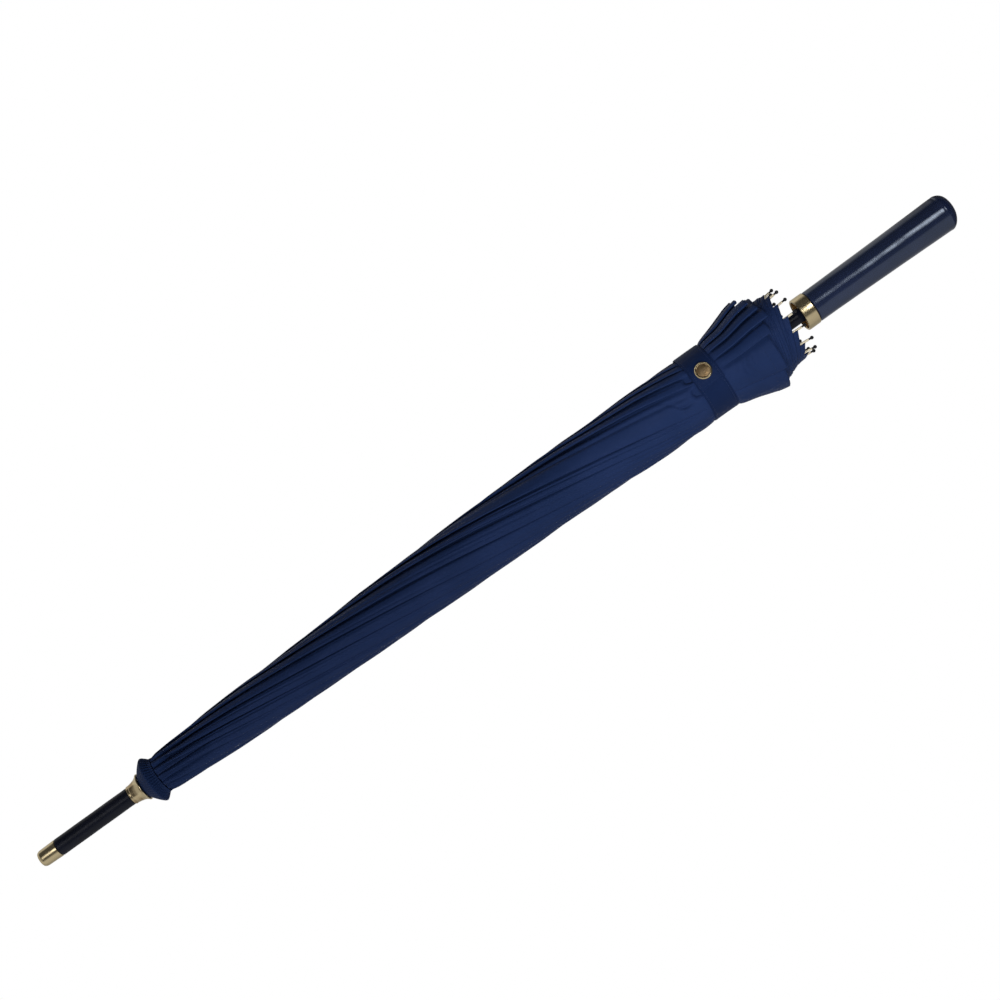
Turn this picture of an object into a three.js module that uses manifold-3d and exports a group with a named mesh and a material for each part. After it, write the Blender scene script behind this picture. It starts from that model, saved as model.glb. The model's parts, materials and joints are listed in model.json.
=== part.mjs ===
// Stick umbrella, closed and strapped: fourteen folding ribs, straight leather-covered handle.
// Millimetres. The shaft is the Z axis, the handle's end face is z = 0 and the ferrule points up.
import * as THREE from "three";
import { mergeVertices } from "three/addons/utils/BufferGeometryUtils.js";
import Module from "manifold-3d";

const wasm = await Module();
wasm.setup();

// ---- driving dimensions ----
const RIB_COUNT = 14;
const RIB_PITCH = (2 * Math.PI) / RIB_COUNT;
const FIRST_RIB = THREE.MathUtils.degToRad(-79.5); // direction of rib_01, near -Y
const ROUND = 24; // sides of a turned piece
const GAP = 0.3; // clearance between neighbours

const SHAFT_R = 6;
const SHAFT_WALL = 1;
const SHAFT_BORE = SHAFT_R + GAP; // hole of whatever is slid over the shaft

const HANDLE_LENGTH = 140;
const HANDLE_R_TOP = 14.2;
const HANDLE_R_END = 16.4;
const HANDLE_EDGE_R = 8.5;
const LEATHER = 1.4;
const CORE_SOCKET = 30; // height of the bottom of the shaft's socket
const COLLAR_TOP = 152;
const COLLAR_R = 14.6;
const COLLAR_MOUTH = 7; // depth of the collar's open mouth

const CAP_BOTTOM = 813.3;
const CAP_TOP = 826.1;
const FERRULE_R = 7.6;
const FERRULE_TOP = 899;
const TOTAL_LENGTH = 917;
const SHAFT_TOP = 889;

const CROWN_Z = 790; // height of the ribs' pivot ring
const PIVOT_R = 10; // radius of the pivot rings in crown and runner
const RIB_LEAN = THREE.MathUtils.degToRad(1.6); // a closed rib's angle to the shaft
const OPEN_LEAN = THREE.MathUtils.degToRad(70); // the same with the canopy open
const LINK = 290; // crown pivot to rib joint, and rib joint to runner pivot
const RIB_CHANNEL_END = 610; // crown pivot to the end of the rib's channel
const TIP_LENGTH = 21.5; // from there to the ball on the rib's tip
const TIP_SPLAY = THREE.MathUtils.degToRad(6); // how far the tip bends outwards
const TIP_R = 0.85;
const TIP_DEPTH = 1.7; // the tip's centre line, below the rib's back
const TIP_OVERLAP = 3; // length of the tip inside the rib's plugged end
const BALL_R = 1.5;
const RIB_HALF_WIDTH = 1.35;
const RIB_BACK = 2.0; // outer face of the rib's channel, from its pivot line
const RIB_FRONT = -1.4;
const RIB_WALL = 0.5;
const RUNNER_Z = CROWN_Z - 2 * LINK * Math.cos(RIB_LEAN); // height of the runner's pivot ring
const RUNNER_TRAVEL = 2 * LINK * (Math.cos(RIB_LEAN) - Math.cos(OPEN_LEAN));
const SLOT_WIDTH = 2.6;
const SLOT_FLOOR = 7.8; // radius of the bottom of the slots in crown and runner
const CROWN_HUB_R = 7.6;
const CROWN_FLANGE_R = 12;
const RUNNER_FLANGE_R = 12.6;
const WIRE_R = 0.5; // of the wire rings in crown and runner
const EYE_R = 1.9;
const EYE_HOLE_R = 1.0;
const EYE_THICKNESS = 1.8;

const CATCH_REACH = 2.3; // how far a catch springs out of the shaft
const CATCH_LENGTH = 20;
const CATCH_THICKNESS = 1.8;
const CATCH_PLAY = 0.6; // between a catch and the end of the runner

const STRAP_Z = 246.5;
const STRAP_WIDTH = 23;
const STRAP_R = 29.2; // inner radius where the strap starts
const STRAP_THICKNESS = 0.8;
const STRAP_START = THREE.MathUtils.degToRad(-60); // the sewn end
const STRAP_SWEEP = THREE.MathUtils.degToRad(-397); // once round the bundle, with an overlap
const SNAP_BACK = THREE.MathUtils.degToRad(25); // snap centre to the strap's free end
const SNAP_R = 7.6;

// outer outline of the closed canopy, as [height, radius], from the crown to the hem
const BUNDLE = [
  [797.6, 15.6], [745, 19.2], [704, 21.2], [614, 23.4], [483, 27.0], [351, 28.6], [305, 30.2],
  [260, 28.8], [233, 28.8], [224, 34.5], [208, 39.4], [196, 42.2], [186, 38.5], [166, 31.4],
];
const CLOTH_BELL = 3; // thickness of the flared hem's layers
const CLOTH_CLEAR = 0.6; // between the ribs' backs and the cloth

// ---- materials ----
const finish = (color, roughness, metalness) =>
  new THREE.MeshStandardMaterial({ color, roughness, metalness });
const GOLD = finish(0xc9ab6b, 0.28, 1);
const BLACK_STEEL = finish(0x101012, 0.35, 0.6);
const SPRING_STEEL = finish(0xa9adb3, 0.35, 1);
const RIB_STEEL = finish(0x1a1a1d, 0.4, 0.7);
const BLACK_PLASTIC = finish(0x151517, 0.5, 0);
const BEECH = finish(0x9c7a52, 0.7, 0);
const LEATHER_NAVY = finish(0x141c42, 0.35, 0);
const CLOTH_NAVY = finish(0x121f52, 0.75, 0);

// ---- shape helpers ----
/** Closed triangle mesh of a three.js geometry, ready for joining and cutting. */
function solid(geometry) {
  const bare = geometry.clone();
  bare.deleteAttribute("normal");
  bare.deleteAttribute("uv");
  const merged = mergeVertices(bare, 1e-4);
  return new wasm.Manifold(new wasm.Mesh({
    numProp: 3,
    vertProperties: new Float32Array(merged.attributes.position.array),
    triVerts: new Uint32Array(merged.index.array),
  }));
}

/** three.js geometry of a manifold solid. */
function geometryOf(manifold) {
  const mesh = manifold.getMesh();
  const geometry = new THREE.BufferGeometry();
  geometry.setAttribute("position", new THREE.BufferAttribute(mesh.vertProperties, 3));
  geometry.setIndex(new THREE.BufferAttribute(mesh.triVerts, 1));
  return geometry;
}

/** Turned piece about Z from a list of [radius, height] that closes on itself or on the axis. */
function turned(profile, sides = ROUND) {
  const points = profile.map(([r, z]) => new THREE.Vector2(r, z));
  if (THREE.ShapeUtils.area(points) < 0) points.reverse();
  if (profile[0][0] > 0) points.push(points[0].clone());
  return new THREE.LatheGeometry(points, sides).rotateX(Math.PI / 2);
}

/** Ring of rectangular section with chamfered outer edges. */
function ring(inner, outer, bottom, top, chamfer = 0.3) {
  return turned([
    [inner, bottom], [outer - chamfer, bottom], [outer, bottom + chamfer],
    [outer, top - chamfer], [outer - chamfer, top], [inner, top],
  ]);
}

/** Box from its lowest and highest corners. */
function box([x0, y0, z0], [x1, y1, z1]) {
  const geometry = new THREE.BoxGeometry(x1 - x0, y1 - y0, z1 - z0);
  return geometry.translate((x0 + x1) / 2, (y0 + y1) / 2, (z0 + z1) / 2);
}

/** Rod along Y, centred on (x, z). */
function crossRod(radius, length, x, z, sides = 8) {
  return new THREE.CylinderGeometry(radius, radius, length, sides).translate(x, 0, z);
}

/** Thin plate in the XZ plane, centred on y = 0, from an outline of [x, z] points. */
function plate(outline, thickness) {
  const shape = new THREE.Shape(outline.map(([x, z]) => new THREE.Vector2(x, z)));
  const geometry = new THREE.ExtrudeGeometry(shape, { depth: thickness, bevelEnabled: false });
  return geometry.translate(0, 0, -thickness / 2).rotateX(Math.PI / 2);
}

/** Blade along -Z with rounded, drilled ends at z = 0 and z = -length. */
function blade(halfDepth, length, thickness, topR, bottomR, holeR) {
  return solid(box([-halfDepth, -thickness / 2, -length], [halfDepth, thickness / 2, 0]))
    .add(solid(crossRod(topR, thickness, 0, 0, 10)))
    .add(solid(crossRod(bottomR, thickness, 0, -length, 10)))
    .subtract(solid(crossRod(holeR, 2 * thickness, 0, 0)))
    .subtract(solid(crossRod(holeR, 2 * thickness, 0, -length)));
}

/** Copies of a solid turned about Z, one for each rib, joined. */
function aroundShaft(piece, offset) {
  let all = piece.rotate([0, 0, THREE.MathUtils.radToDeg(offset)]);
  for (let i = 1; i < RIB_COUNT; i += 1) {
    all = all.add(piece.rotate([0, 0, THREE.MathUtils.radToDeg(offset + i * RIB_PITCH)]));
  }
  return all;
}

const group = new THREE.Group();

function place(name, geometry, material, parent = group) {
  const mesh = new THREE.Mesh(geometry, material);
  mesh.name = name;
  parent.add(mesh);
  return mesh;
}

/** Group turned to the direction of rib number i, with its origin at a pivot on ring height z. */
function ribFrame(i, z, lean) {
  const turn = new THREE.Group();
  turn.rotation.z = FIRST_RIB + i * RIB_PITCH;
  const pivot = new THREE.Group();
  pivot.position.set(PIVOT_R, 0, z);
  pivot.rotation.y = lean;
  turn.add(pivot);
  group.add(turn);
  return pivot;
}

const numbered = (name, i) => `${name}_${String(i + 1).padStart(2, "0")}`;

// ---- handle ----
/** Radius of the handle's outside, which flares in a shallow hollow curve to its end. */
const handleRadius = (z) =>
  HANDLE_R_TOP + (HANDLE_R_END - HANDLE_R_TOP) * (1 - z / HANDLE_LENGTH) ** 1.4;

function handleOutline(inset) {
  const points = [[0, inset]];
  const edgeCentre = HANDLE_R_END - HANDLE_EDGE_R;
  for (let k = 0; k <= 3; k += 1) {
    const angle = (k / 3) * (Math.PI / 2);
    const r = HANDLE_EDGE_R - inset;
    points.push([edgeCentre + r * Math.sin(angle), HANDLE_EDGE_R - r * Math.cos(angle)]);
  }
  for (const z of [45, 90, HANDLE_LENGTH]) points.push([handleRadius(z) - inset, z]);
  return points;
}

function handleLeather() {
  return turned([...handleOutline(0), ...handleOutline(LEATHER).reverse()]);
}

function handleCore() {
  const top = HANDLE_LENGTH - GAP;
  const outline = handleOutline(LEATHER + GAP).map(([r, z]) => [r, Math.min(z, top)]);
  return turned([...outline, [SHAFT_BORE, top], [SHAFT_BORE, CORE_SOCKET], [0, CORE_SOCKET]]);
}

/** Gold collar: a turned cup whose open mouth faces the ribs' tips. */
function handleCollar() {
  const bottom = HANDLE_LENGTH + GAP;
  return turned([
    [SHAFT_BORE, bottom], [COLLAR_R - 0.6, bottom], [COLLAR_R, bottom + 1],
    [COLLAR_R, COLLAR_TOP - 1], [COLLAR_R - 0.4, COLLAR_TOP], [COLLAR_R - 1.8, COLLAR_TOP],
    [COLLAR_R - 2.2, COLLAR_TOP - COLLAR_MOUTH], [SHAFT_BORE, COLLAR_TOP - COLLAR_MOUTH],
  ]);
}

// ---- shaft, catches and stop pin ----
const RUNNER_BOTTOM = RUNNER_Z - 29;
const RUNNER_TOP = RUNNER_Z + 6;
const TOP_CATCH_TOP = RUNNER_BOTTOM + RUNNER_TRAVEL - CATCH_PLAY;
const BOTTOM_CATCH_TOP = RUNNER_TOP + CATCH_PLAY + CATCH_LENGTH;
const STOP_PIN_Z = RUNNER_TOP + RUNNER_TRAVEL + 2.2;
const STOP_PIN_R = 1.1;

/** Sprung catch, pressed flush with the shaft, ending at height top on its +X side. */
function catchPlate(top, square) {
  const outer = SHAFT_R - 0.15;
  const tail = square ? top - CATCH_LENGTH : top;
  const head = square ? top : top - CATCH_LENGTH;
  return plate([
    [outer, head], [outer, (head + tail) / 2], [outer - CATCH_REACH, tail], [0.8, tail], [0.8, head],
  ], CATCH_THICKNESS);
}

function catchSlot(top) {
  const half = CATCH_THICKNESS / 2 + 0.4;
  return solid(box([0, -half, top - CATCH_LENGTH - 0.6], [SHAFT_R + 1, half, top + 0.6]));
}

function shaft() {
  const inner = SHAFT_R - SHAFT_WALL;
  const tube = solid(ring(inner, SHAFT_R, CORE_SOCKET + GAP, SHAFT_TOP));
  const cut = tube
    .subtract(catchSlot(TOP_CATCH_TOP))
    .subtract(catchSlot(BOTTOM_CATCH_TOP))
    .subtract(solid(crossRod(STOP_PIN_R + GAP + 0.1, 4 * SHAFT_R, 0, STOP_PIN_Z)));
  return geometryOf(cut);
}

// ---- crown, runner and their pivot rings ----
/** Hub with a slotted flange: one slot for each rib or stretcher. */
function slottedHub(hubBottom, hubTop, hubR, flangeBottom, flangeTop, flangeR) {
  const hub = solid(ring(SHAFT_BORE, hubR, hubBottom, hubTop));
  const flange = solid(ring(SHAFT_BORE, flangeR, flangeBottom, flangeTop));
  const half = SLOT_WIDTH / 2;
  const slot = solid(box([SLOT_FLOOR, -half, flangeBottom - 1], [flangeR + 2, half, flangeTop + 1]));
  return hub.add(flange.subtract(aroundShaft(slot, FIRST_RIB)));
}

function crown() {
  const groove = turned([
    [PIVOT_R - 1, CROWN_Z - 1], [PIVOT_R + 1, CROWN_Z - 1], [PIVOT_R + 1, CROWN_Z + 6],
    [PIVOT_R - 1, CROWN_Z + 6],
  ]);
  const top = CROWN_Z + 4;
  const hub = slottedHub(CROWN_Z - 12, top, CROWN_HUB_R, CROWN_Z - 5, top, CROWN_FLANGE_R);
  return geometryOf(hub.subtract(solid(groove)));
}

/** Wire ring that the ribs' eyes turn on. */
function pivotWire(z) {
  const points = [];
  for (let k = 0; k < 6; k += 1) {
    const angle = (k * Math.PI) / 3;
    points.push([PIVOT_R + WIRE_R * Math.cos(angle), z + WIRE_R * Math.sin(angle)]);
  }
  return turned(points, 2 * RIB_COUNT);
}

function runner() {
  return geometryOf(
    slottedHub(RUNNER_BOTTOM, RUNNER_TOP, SLOT_FLOOR, RUNNER_Z - 7, RUNNER_TOP, RUNNER_FLANGE_R),
  );
}

// ---- ribs and stretchers ----
/** Gold tip with a ball end, bent outwards from the end of the rib's channel. */
function ribTip() {
  const rod = new THREE.CylinderGeometry(TIP_R, TIP_R, TIP_LENGTH + TIP_OVERLAP, 6);
  rod.rotateX(Math.PI / 2).translate(0, 0, (TIP_OVERLAP - TIP_LENGTH) / 2);
  const ball = new THREE.SphereGeometry(BALL_R, 8, 5).translate(0, 0, -TIP_LENGTH);
  return solid(rod).add(solid(ball))
    .rotate([0, -THREE.MathUtils.radToDeg(TIP_SPLAY), 0])
    .translate([RIB_BACK - TIP_DEPTH, 0, -RIB_CHANNEL_END]);
}

/** Rib: an eye, a channel open towards the shaft, the stretcher's rivet, and a gold tip. */
function rib() {
  const w = RIB_HALF_WIDTH;
  const inside = w - RIB_WALL;
  const start = -6; // top of the channel, below the eye
  const end = -RIB_CHANNEL_END;
  const hollow = box(
    [RIB_FRONT - 1, -inside, end + TIP_OVERLAP],
    [RIB_BACK - RIB_WALL, inside, start + 1],
  );
  const channel = solid(box([RIB_FRONT, -w, end], [RIB_BACK, w, start])).subtract(solid(hollow));
  const neck = EYE_THICKNESS / 2;
  const eye = solid(crossRod(EYE_R, EYE_THICKNESS, 0, 0, 12))
    .add(solid(box([-1.2, -neck, start - 3], [1.2, neck, 0])))
    .add(solid(box([-1.2, -w + 0.1, start - 5], [1.2, w - 0.1, start - 1])))
    .subtract(solid(crossRod(EYE_HOLE_R, 3 * EYE_THICKNESS, 0, 0)));
  const rivet = solid(crossRod(0.42, 2 * w - 0.1, 0, -LINK, 6));
  return geometryOf(channel.add(eye).add(rivet).add(ribTip()));
}

function stretcher() {
  return geometryOf(blade(1.1, LINK, 1.0, 1.2, 1.6, 0.75));
}

// ---- canopy ----
const ribBackAt = (z) => PIVOT_R + Math.max(0, CROWN_Z - z) * Math.tan(RIB_LEAN) + RIB_BACK;

/** One gore's share of the closed canopy: a shell outside the ribs, over one rib pitch. */
function canopyPanel() {
  const outline = BUNDLE.map(([z, r]) => [r, z]);
  const inner = BUNDLE.map(([z, r]) => {
    const backed = ribBackAt(z) + CLOTH_CLEAR;
    return [z < STRAP_Z ? Math.max(backed, r - CLOTH_BELL) : backed, z];
  });
  const shell = solid(turned([...outline, ...inner.reverse()], 2 * RIB_COUNT));
  const reach = 60; // beyond the cloth's widest place
  const half = RIB_PITCH / 2;
  const side = GAP / 2 + 0.05;
  const shape = new THREE.Shape([
    new THREE.Vector2(side / Math.sin(half), 0),
    new THREE.Vector2(reach, (reach - side / Math.sin(half)) * Math.tan(half)),
    new THREE.Vector2(reach, -(reach - side / Math.sin(half)) * Math.tan(half)),
  ].reverse());
  const wedge = new THREE.ExtrudeGeometry(shape, { depth: CROWN_Z + 100, bevelEnabled: false });
  return geometryOf(shell.intersect(solid(wedge)));
}

/** Gathered rosette of canopy cloth between the crown and the top cap. */
function rosette() {
  return turned([
    [6.6, 812.9], [12.0, 812.9], [17.0, 809.4], [20.0, 805.2], [19.6, 803.2], [16.6, 799.6],
    [15.0, 798.1], [6.6, 798.1],
  ]);
}

/** Gold trumpet-shaped cap that presses the rosette down. */
function topCap() {
  return turned([
    [SHAFT_BORE, CAP_BOTTOM], [12.0, CAP_BOTTOM], [12.3, CAP_BOTTOM + 0.9],
    [11.2, CAP_BOTTOM + 2.0], [9.6, CAP_BOTTOM + 4.6], [8.6, CAP_BOTTOM + 8.2], [8.2, CAP_TOP],
    [SHAFT_BORE, CAP_TOP],
  ]);
}

function ferruleTube() {
  return ring(SHAFT_BORE, FERRULE_R, CAP_TOP + GAP, FERRULE_TOP, 0.2);
}

function ferruleTip() {
  return turned([
    [0, SHAFT_TOP + 3], [5.9, SHAFT_TOP + 3], [5.9, FERRULE_TOP + GAP], [7.4, FERRULE_TOP + GAP],
    [7.6, FERRULE_TOP + 1], [7.2, TOTAL_LENGTH - 2], [6.2, TOTAL_LENGTH], [0, TOTAL_LENGTH],
  ]);
}

// ---- strap and snap ----
/** Band wound once round the bundle, its free end lying over its sewn end. */
function strap() {
  const steps = 34;
  const rise = STRAP_THICKNESS + 0.45; // how far one turn winds outwards
  const inner = [];
  const outer = [];
  for (let k = 0; k <= steps; k += 1) {
    const angle = STRAP_START + (STRAP_SWEEP * k) / steps;
    const turn = (Math.abs(STRAP_SWEEP) * k) / steps / (2 * Math.PI);
    const r = STRAP_R + rise * turn;
    inner.push(new THREE.Vector2(r * Math.cos(angle), r * Math.sin(angle)));
    const over = r + STRAP_THICKNESS;
    outer.push(new THREE.Vector2(over * Math.cos(angle), over * Math.sin(angle)));
  }
  const shape = new THREE.Shape([...outer, ...inner.reverse()]);
  const band = new THREE.ExtrudeGeometry(shape, { depth: STRAP_WIDTH, bevelEnabled: false });
  return band.translate(0, 0, STRAP_Z - STRAP_WIDTH / 2);
}

/** Domed gold cap of the snap, standing on the strap's free end. */
function snapCap() {
  const seat = STRAP_R + 2 * STRAP_THICKNESS + 1.75;
  const cap = turned([
    [0, 0], [SNAP_R - 0.4, 0], [SNAP_R, 0.6], [SNAP_R - 0.6, 1.4], [4.5, 1.9], [0, 2.0],
  ], 20);
  const angle = STRAP_START + STRAP_SWEEP + SNAP_BACK;
  cap.rotateY(Math.PI / 2).translate(seat, 0, STRAP_Z);
  return cap.rotateZ(angle);
}

// ---- assembly ----
place("shaft", shaft(), BLACK_STEEL);
place("ferrule_tube", ferruleTube(), BLACK_STEEL);
place("ferrule_tip", ferruleTip(), GOLD);
place("top_cap", topCap(), GOLD);
place("rosette", rosette(), CLOTH_NAVY);
place("crown", crown(), BLACK_PLASTIC);
place("crown_wire", pivotWire(CROWN_Z), SPRING_STEEL);
place("runner", runner(), BLACK_PLASTIC);
place("top_catch", catchPlate(TOP_CATCH_TOP, true), SPRING_STEEL);
place("bottom_catch", catchPlate(BOTTOM_CATCH_TOP, false), SPRING_STEEL);
place("stop_pin", crossRod(STOP_PIN_R, 16, 0, STOP_PIN_Z), SPRING_STEEL);
place("handle_core", handleCore(), BEECH);
place("handle_leather", handleLeather(), LEATHER_NAVY);
place("handle_collar", handleCollar(), GOLD);
place("strap", strap(), CLOTH_NAVY);
place("snap_cap", snapCap(), GOLD);

const ribGeometry = rib();
const stretcherGeometry = stretcher();
const panelGeometry = canopyPanel();
for (let i = 0; i < RIB_COUNT; i += 1) {
  const frame = ribFrame(i, CROWN_Z, -RIB_LEAN);
  place(numbered("rib", i), ribGeometry, RIB_STEEL, frame);
  const joint = new THREE.Group();
  joint.position.z = -LINK;
  joint.rotation.y = 2 * RIB_LEAN;
  frame.add(joint);
  place(numbered("stretcher", i), stretcherGeometry, RIB_STEEL, joint);
  const panel = place(numbered("canopy_panel", i), panelGeometry, CLOTH_NAVY);
  panel.rotation.z = FIRST_RIB + (i + 0.5) * RIB_PITCH;
}

export default group;
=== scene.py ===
"""Stick umbrella, closed and strapped. Shapes are worked out in millimetres and made in metres."""
import json
import math

import bmesh
import bpy
import numpy as np
from mathutils import Matrix, Vector


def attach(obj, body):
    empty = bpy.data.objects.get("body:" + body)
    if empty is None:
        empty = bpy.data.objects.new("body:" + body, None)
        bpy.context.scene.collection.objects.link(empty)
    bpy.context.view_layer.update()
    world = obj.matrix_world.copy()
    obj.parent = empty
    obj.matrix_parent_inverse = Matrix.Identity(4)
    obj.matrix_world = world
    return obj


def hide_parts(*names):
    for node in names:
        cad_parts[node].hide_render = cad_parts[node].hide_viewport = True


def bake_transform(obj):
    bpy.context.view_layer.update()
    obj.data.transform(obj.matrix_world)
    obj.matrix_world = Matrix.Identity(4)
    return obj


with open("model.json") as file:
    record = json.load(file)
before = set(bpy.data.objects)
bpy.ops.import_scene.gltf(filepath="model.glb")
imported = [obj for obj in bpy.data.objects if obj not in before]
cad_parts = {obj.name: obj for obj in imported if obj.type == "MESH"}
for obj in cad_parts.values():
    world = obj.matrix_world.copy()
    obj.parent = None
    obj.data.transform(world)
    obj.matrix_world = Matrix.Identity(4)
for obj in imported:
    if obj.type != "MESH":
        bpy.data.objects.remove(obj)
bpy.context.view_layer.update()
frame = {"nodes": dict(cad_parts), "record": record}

# ---- driving dimensions, in millimetres and degrees, as in the CAD model ----
RIB_COUNT = 14
PITCH = 360 / RIB_COUNT
FIRST_RIB = -79.5
PIVOT_R = 10  # of the circle of the ribs' pivots, at height CROWN_Z
CROWN_Z = 790
RIB_LEAN = math.radians(1.6)
RIB_BACK = 2.0  # from a rib's pivot out to its back
RIB_CHANNEL_END = 610  # from a rib's pivot down to the end of its channel
TIP_LENGTH = 21.5
TIP_SPLAY = math.radians(6)
BALL_R = 1.53

CLOTH_TOP = 797.6  # where the rosette holds the cloth
GORE_TOP = 795.5  # top edge of the gores, low enough to clear the shaft when they swing out
STRAP_Z = 246.5
STRAP_WIDTH = 23
STRAP_R = 29.2  # for the spacing of the stitches
STRAP_SNUG_R = 28.55  # the cloth strap's inner radius
STRAP_THICKNESS = 0.8
STRAP_START = -60  # direction of its sewn end
STRAP_SWEEP = 397  # clockwise from its sewn end, seen from above
STRAP_RISE = 1.2  # how much its radius grows in a full turn
STRAP_OPENING = 170  # how far it turns when it is undone
SNAP_BACK = 25  # from the strap's free end back to the snap

HANDLE_LENGTH = 140
HANDLE_R_TOP = 14.2
HANDLE_R_END = 16.4
HANDLE_EDGE_R = 8.5
SEAM_TURN = 62  # direction of the leather's seam
SHAFT_HOLE = 6.2  # radius of the hole for the shaft in the handle
FIT_R = 6.4  # inner radius of the fittings on the shaft

# flat sizes of the sheets: width and length in metres, and area in square metres
GORE_FLAT = (0.258, 0.617)

CAMERA_PLACE = (0.0205, -1.38, 0.4395)
CAMERA_LENS = 60.6
CAMERA_TILT = math.atan2(0.5833, 0.8123)  # of the shaft from the picture's horizontal


# ---- mesh helpers ----
def make_object(name, points, faces, materials, face_slots=None, uv=None, smooth=True):
    """Mesh object from points in millimetres, with one UV pair per point."""
    mesh = bpy.data.meshes.new(name)
    mesh.from_pydata((np.asarray(points, float) / 1000).tolist(), [], [list(f) for f in faces])
    for entry in materials:
        mesh.materials.append(entry)
    if face_slots is not None:
        mesh.polygons.foreach_set("material_index", np.asarray(face_slots, np.int32))
    if uv is not None:
        corner = np.empty(len(mesh.loops), np.int32)
        mesh.loops.foreach_get("vertex_index", corner)
        layer = mesh.uv_layers.new(name="UVMap")
        layer.data.foreach_set("uv", np.asarray(uv, np.float32)[corner].ravel())
    if smooth:
        mesh.shade_smooth()
    mesh.update()
    obj = bpy.data.objects.new(name, mesh)
    bpy.context.collection.objects.link(obj)
    return obj


def grid_faces(rows, cols, first=0, wrap=False):
    """Quads of a grid of points stored row by row, with its last column joined to its first if wrap."""
    r, c = np.meshgrid(np.arange(rows - 1), np.arange(cols if wrap else cols - 1), indexing="ij")
    r, c = r.ravel(), c.ravel()
    nxt = (c + 1) % cols
    return first + np.stack([r * cols + c, r * cols + nxt, (r + 1) * cols + nxt, (r + 1) * cols + c], 1)


def filleted(corners, steps=5):
    """Outline of (r, z) points from corners (r, z, fillet radius)."""
    out = []
    for i, (r, z, fillet) in enumerate(corners):
        here = np.array([r, z], float)
        if fillet <= 0 or i in (0, len(corners) - 1):
            out.append(here)
            continue
        before = np.array(corners[i - 1][:2], float) - here
        after = np.array(corners[i + 1][:2], float) - here
        reach = min(fillet, 0.49 * np.linalg.norm(before), 0.49 * np.linalg.norm(after))
        a = here + before / np.linalg.norm(before) * reach
        b = here + after / np.linalg.norm(after) * reach
        for t in np.linspace(0, 1, steps + 1):
            out.append((1 - t) ** 2 * a + 2 * t * (1 - t) * here + t * t * b)
    return np.array(out)


def turned(name, outline, materials, sides=96, slots=None, shape=None, closed=False):
    """Turned piece about Z. shape(radius, angle, height) may change the radius."""
    outline = np.asarray(outline, float)
    if closed:
        outline = np.vstack([outline, outline[:1]])
    angle = np.linspace(0, 2 * np.pi, sides, endpoint=False)
    r = np.repeat(outline[:, :1], sides, 1)
    z = np.repeat(outline[:, 1:], sides, 1)
    a = np.repeat(angle[None, :], len(outline), 0)
    if shape is not None:
        r = shape(r, a, z)
    points = np.stack([r * np.cos(a), r * np.sin(a), z], -1).reshape(-1, 3)
    faces = grid_faces(len(outline), sides, wrap=True)
    face_slots = None if slots is None else np.repeat(slots, sides)
    obj = make_object(name, points, faces, materials, face_slots)
    weld(obj)
    return obj


def weld(obj, distance=1e-6):
    """Joins points that coincide, and turns the faces outwards."""
    bm = bmesh.new()
    bm.from_mesh(obj.data)
    bmesh.ops.remove_doubles(bm, verts=bm.verts, dist=distance)
    bmesh.ops.recalc_face_normals(bm, faces=bm.faces)
    bm.to_mesh(obj.data)
    bm.free()


def tube(path, radius, sides):
    """Points and faces of a round tube along a path of points. The radius may be a list."""
    path = np.asarray(path, float)
    radius = np.broadcast_to(radius, (len(path),))
    along = np.gradient(path, axis=0)
    along /= np.linalg.norm(along, axis=1, keepdims=True)
    side = np.cross(along, [0.31, 0.17, 0.93])
    side /= np.linalg.norm(side, axis=1, keepdims=True)
    up = np.cross(along, side)
    turn = np.linspace(0, 2 * np.pi, sides, endpoint=False)
    rings = (path[:, None] + radius[:, None, None]
             * (np.cos(turn)[None, :, None] * side[:, None] + np.sin(turn)[None, :, None] * up[:, None]))
    return rings.reshape(-1, 3), grid_faces(len(path), sides, wrap=True)


def smooth_curve(x, knots):
    """Smooth curve through (x, y) knots: piecewise cubic with limited slopes, so it doesn't overshoot."""
    knots = sorted(knots)
    kx = np.array([k[0] for k in knots], float)
    ky = np.array([k[1] for k in knots], float)
    slope = np.diff(ky) / np.diff(kx)
    m = np.zeros_like(ky)
    m[0], m[-1] = slope[0], slope[-1]
    for i in range(1, len(kx) - 1):
        if slope[i - 1] * slope[i] > 0:
            m[i] = 2 * slope[i - 1] * slope[i] / (slope[i - 1] + slope[i])
    x = np.clip(x, kx[0], kx[-1])
    i = np.clip(np.searchsorted(kx, x) - 1, 0, len(kx) - 2)
    h = kx[i + 1] - kx[i]
    t = (x - kx[i]) / h
    return ((2 * t**3 - 3 * t**2 + 1) * ky[i] + (t**3 - 2 * t**2 + t) * h * m[i]
            + (3 * t**2 - 2 * t**3) * ky[i + 1] + (t**3 - t**2) * h * m[i + 1])


def smoothstep(x, low, high):
    """Smooth step from 0 at low to 1 at high."""
    t = np.clip((x - low) / (high - low), 0, 1)
    return t * t * (3 - 2 * t)


def bump(x, centre, width):
    """Smooth bell of height 1."""
    return np.exp(-(((x - centre) / width) ** 2))


def ripple(x, y, seed):
    """Smooth irregular waves between about -1 and 1; x and y are in wavelengths."""
    total = 0
    for n in range(4):
        turn = seed * 1.7 + n * 2.1
        stretch = 0.6 + 0.35 * n
        place = x * math.cos(turn) + y * math.sin(turn)
        total = total + np.sin(2 * np.pi * stretch * place + seed * 4.3 + n * 1.9)
    return total / 2.6


# ---- node helpers ----
def math_node(nodes, links, operation, a, b=None):
    """Result of a math node. a and b are numbers or sockets."""
    node = nodes.new("ShaderNodeMath")
    node.operation = operation
    for socket, value in ((node.inputs[0], a), (node.inputs[1], b)):
        if value is None:
            continue
        if isinstance(value, (int, float)):
            socket.default_value = value
        else:
            links.new(value, socket)
    return node.outputs[0]


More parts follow.
